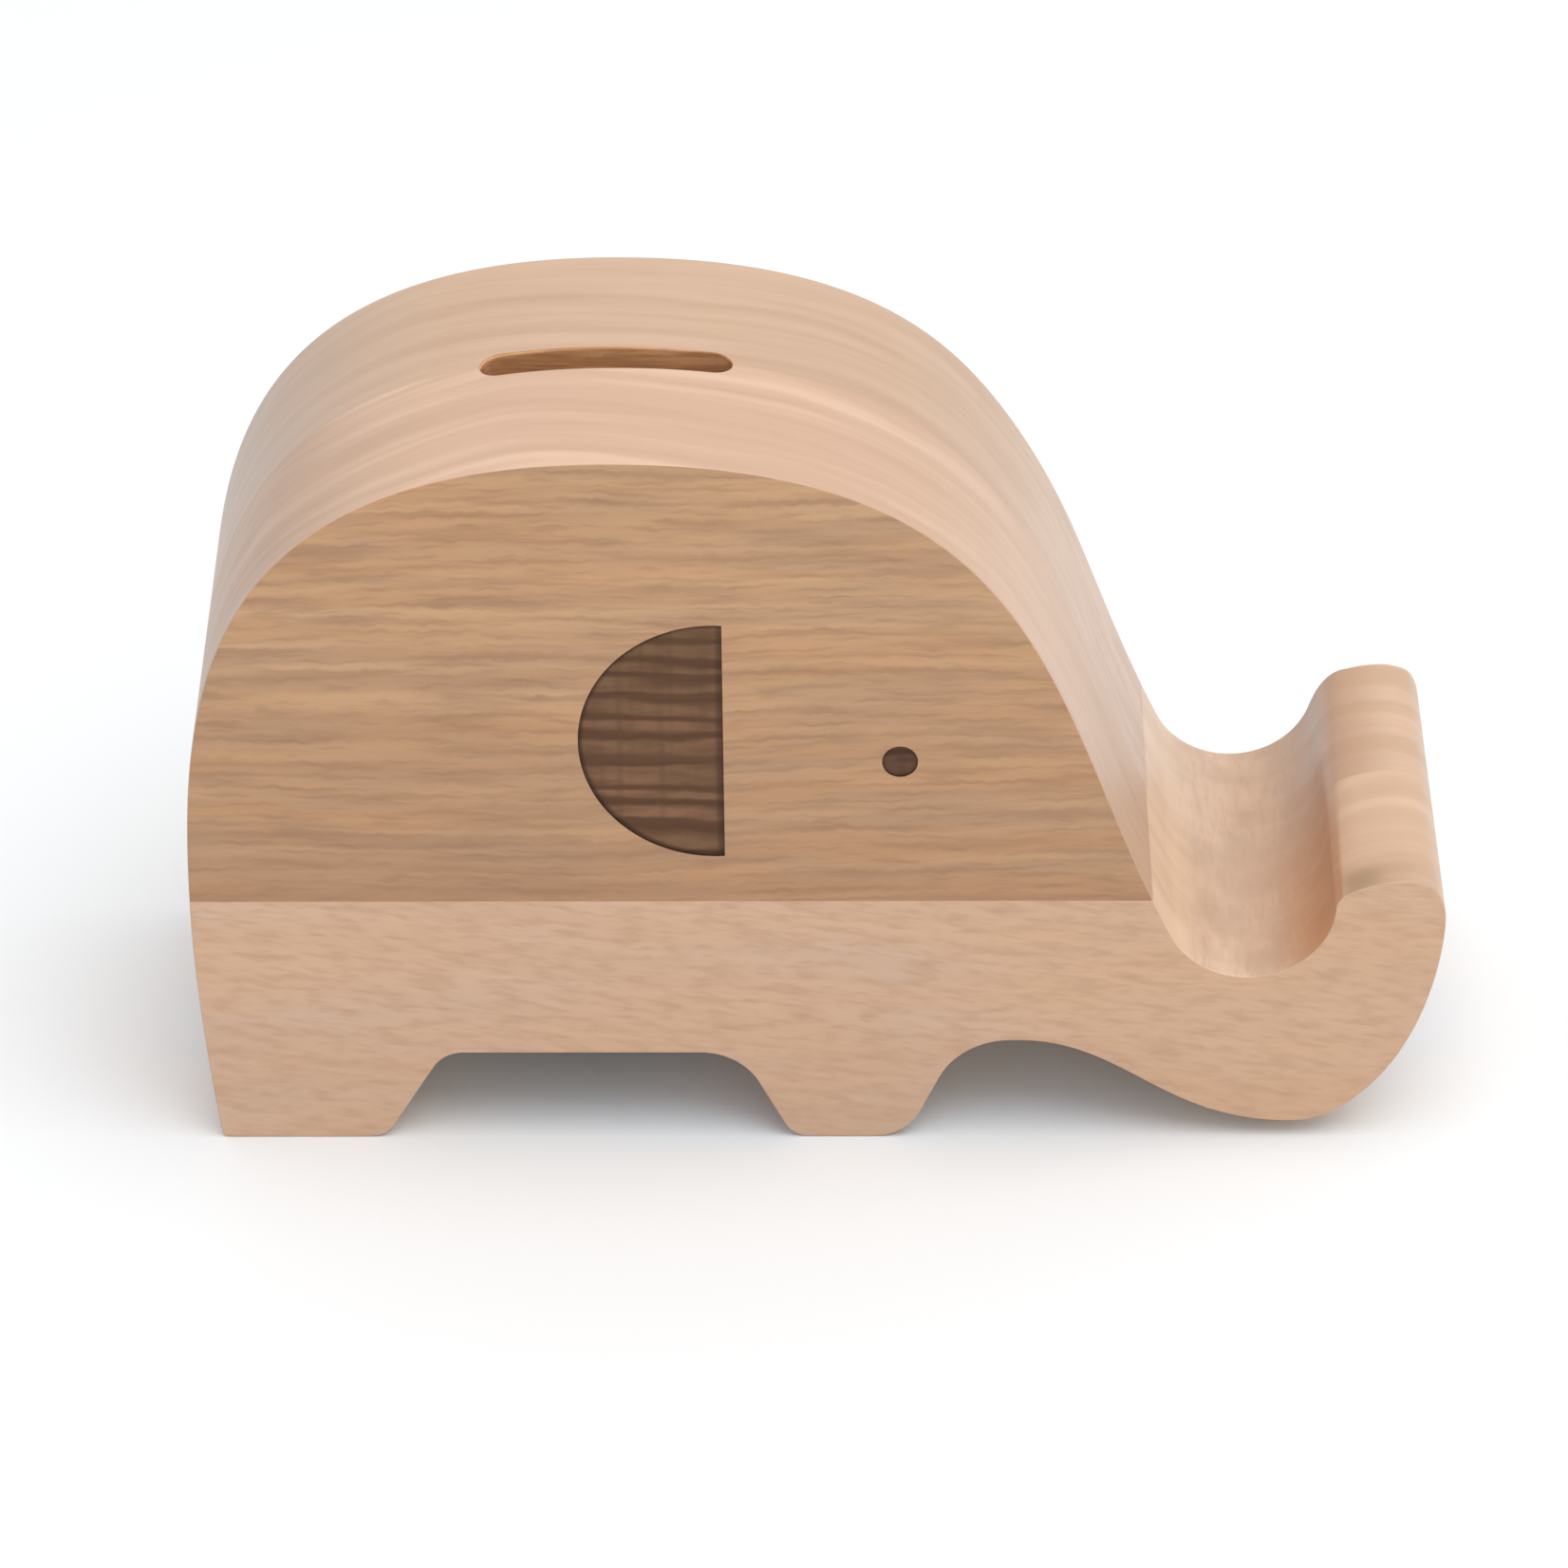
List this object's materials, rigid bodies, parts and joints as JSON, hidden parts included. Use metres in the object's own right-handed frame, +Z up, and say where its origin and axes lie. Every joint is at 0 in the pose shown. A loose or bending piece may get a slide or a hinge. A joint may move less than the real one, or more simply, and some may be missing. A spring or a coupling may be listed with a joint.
{
  "type": "money box",
  "caption": "Wooden money box shaped like an elephant, with a coin slot in its back, a curled trunk that holds a phone or a pen, and a soft stopper under the belly.",
  "frame": {"origin": "on the ground, under the middle of the body's bounding box", "axes": "+X from the rump to the trunk, +Y from the front face to the rear face, +Z up"},
  "size_m": [0.1906, 0.064, 0.12],
  "materials": {
    "lower_beech": "fine sanded, lightly oiled",
    "upper_beech": "fine sanded, lightly oiled",
    "soft_rubber": "matte"
  },
  "bodies": {
    "body": {"front_lower_board": "lower_beech", "front_upper_board": "upper_beech", "rear_lower_board": "lower_beech", "rear_upper_board": "upper_beech"},
    "stopper": {"stopper": "soft_rubber"}
  },
  "joints": [
    {"name": "stopper_pull", "type": "slide", "parent": "body", "child": "stopper", "axis": [0, 0, -1], "range_m": [0, 0.012]}
  ]
}
